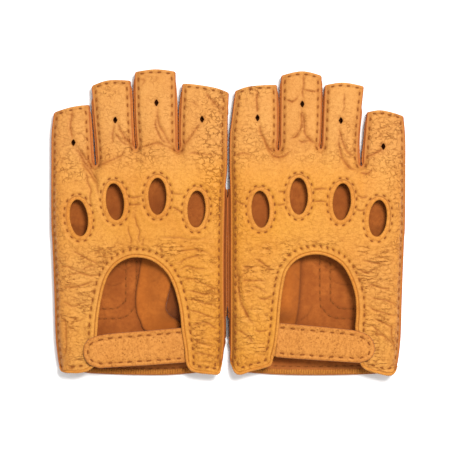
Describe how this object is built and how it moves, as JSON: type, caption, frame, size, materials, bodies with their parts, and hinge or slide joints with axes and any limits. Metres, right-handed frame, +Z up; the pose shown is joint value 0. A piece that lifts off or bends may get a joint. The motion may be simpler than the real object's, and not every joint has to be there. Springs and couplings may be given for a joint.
{
  "type": "fingerless driving gloves",
  "caption": "Short leather driving gloves with cut-off fingers, oval knuckle holes, an arched opening over the wrist and a wrist strap, lying flat with the thumbs folded under the palms.",
  "frame": {"origin": "centre of the pair in plan, on the surface that the gloves lie on", "axes": "+X towards the right-hand glove, +Y from the wrists to the fingertips, +Z up out of the backs of the gloves"},
  "size_m": [0.2186, 0.19, 0.0177],
  "materials": {
    "glove_leather": "smooth tan nappa, satin",
    "strap_leather": "pored tan leather, satin",
    "binding_leather": "smooth tan binding, satin",
    "fourchette_leather": "tan leather, in shade",
    "patch_leather": "tan leather patch, satin",
    "lining_suede": "brown suede",
    "fastener": "brown hook-and-loop tape"
  },
  "bodies": {
    "left_glove": {"left_back": "glove_leather", "left_palm": "glove_leather", "left_arch_binding": "binding_leather", "left_knuckle_bindings": "binding_leather", "left_palm_patch": "patch_leather", "left_strap_root": "glove_leather", "left_loop_patch": "fastener", "left_thumb_gusset": "lining_suede"},
    "left_wrist_strap": {"left_strap": "strap_leather", "left_strap_lining": "lining_suede", "left_strap_hook_patch": "fastener"},
    "left_thumb_tube": {"left_thumb": "glove_leather"},
    "left_index_finger": {"left_index_finger_back": "glove_leather", "left_index_finger_palm": "glove_leather", "left_index_fourchette_far_side": "fourchette_leather"},
    "left_middle_finger": {"left_middle_finger_back": "glove_leather", "left_middle_finger_palm": "glove_leather", "left_middle_fourchette_thumb_side": "fourchette_leather", "left_middle_fourchette_far_side": "fourchette_leather"},
    "left_ring_finger": {"left_ring_finger_back": "glove_leather", "left_ring_finger_palm": "glove_leather", "left_ring_fourchette_thumb_side": "fourchette_leather", "left_ring_fourchette_far_side": "fourchette_leather"},
    "left_little_finger": {"left_little_finger_back": "glove_leather", "left_little_finger_palm": "glove_leather", "left_little_fourchette_thumb_side": "fourchette_leather"},
    "right_glove": {"right_back": "glove_leather", "right_palm": "glove_leather", "right_arch_binding": "binding_leather", "right_knuckle_bindings": "binding_leather", "right_palm_patch": "patch_leather", "right_strap_root": "glove_leather", "right_loop_patch": "fastener", "right_thumb_gusset": "lining_suede"},
    "right_wrist_strap": {"right_strap": "strap_leather", "right_strap_lining": "lining_suede", "right_strap_hook_patch": "fastener"},
    "right_thumb_tube": {"right_thumb": "glove_leather"},
    "right_index_finger": {"right_index_finger_back": "glove_leather", "right_index_finger_palm": "glove_leather", "right_index_fourchette_far_side": "fourchette_leather"},
    "right_middle_finger": {"right_middle_finger_back": "glove_leather", "right_middle_finger_palm": "glove_leather", "right_middle_fourchette_thumb_side": "fourchette_leather", "right_middle_fourchette_far_side": "fourchette_leather"},
    "right_ring_finger": {"right_ring_finger_back": "glove_leather", "right_ring_finger_palm": "glove_leather", "right_ring_fourchette_thumb_side": "fourchette_leather", "right_ring_fourchette_far_side": "fourchette_leather"},
    "right_little_finger": {"right_little_finger_back": "glove_leather", "right_little_finger_palm": "glove_leather", "right_little_fourchette_thumb_side": "fourchette_leather"}
  },
  "joints": [
    {"name": "right_glove_apart", "type": "slide", "parent": "left_glove", "child": "right_glove", "axis": [1, 0, 0], "range_m": [0, 0.15]},
    {"name": "left_strap_hinge", "type": "hinge", "parent": "left_glove", "child": "left_wrist_strap", "pos_m": [-0.0279, -0.0744, 0.0148], "axis": [-0.0732, 0.9973, 0], "range_deg": [0, 165]},
    {"name": "left_thumb_hinge", "type": "hinge", "parent": "left_glove", "child": "left_thumb_tube", "pos_m": [-0.019, -0.054, 0], "axis": [-1, 0, 0], "range_deg": [0, 90]},
    {"name": "left_index_flex", "type": "hinge", "parent": "left_glove", "child": "left_index_finger", "pos_m": [-0.0156, 0.046, 0], "axis": [-1, 0, 0], "range_deg": [0, 75]},
    {"name": "left_middle_flex", "type": "hinge", "parent": "left_glove", "child": "left_middle_finger", "pos_m": [-0.0446, 0.046, 0], "axis": [-1, 0, 0], "range_deg": [0, 75]},
    {"name": "left_ring_flex", "type": "hinge", "parent": "left_glove", "child": "left_ring_finger", "pos_m": [-0.0698, 0.046, 0], "axis": [-1, 0, 0], "range_deg": [0, 75]},
    {"name": "left_little_flex", "type": "hinge", "parent": "left_glove", "child": "left_little_finger", "pos_m": [-0.0966, 0.036, 0], "axis": [-1, 0, 0], "range_deg": [0, 75]},
    {"name": "right_strap_hinge", "type": "hinge", "parent": "right_glove", "child": "right_wrist_strap", "pos_m": [0.0279, -0.0744, 0.0148], "axis": [-0.0732, -0.9973, 0], "range_deg": [0, 165]},
    {"name": "right_thumb_hinge", "type": "hinge", "parent": "right_glove", "child": "right_thumb_tube", "pos_m": [0.019, -0.054, 0], "axis": [-1, 0, 0], "range_deg": [0, 90]},
    {"name": "right_index_flex", "type": "hinge", "parent": "right_glove", "child": "right_index_finger", "pos_m": [0.0156, 0.046, 0], "axis": [-1, 0, 0], "range_deg": [0, 75]},
    {"name": "right_middle_flex", "type": "hinge", "parent": "right_glove", "child": "right_middle_finger", "pos_m": [0.0446, 0.046, 0], "axis": [-1, 0, 0], "range_deg": [0, 75]},
    {"name": "right_ring_flex", "type": "hinge", "parent": "right_glove", "child": "right_ring_finger", "pos_m": [0.0698, 0.046, 0], "axis": [-1, 0, 0], "range_deg": [0, 75]},
    {"name": "right_little_flex", "type": "hinge", "parent": "right_glove", "child": "right_little_finger", "pos_m": [0.0966, 0.036, 0], "axis": [-1, 0, 0], "range_deg": [0, 75]}
  ]
}
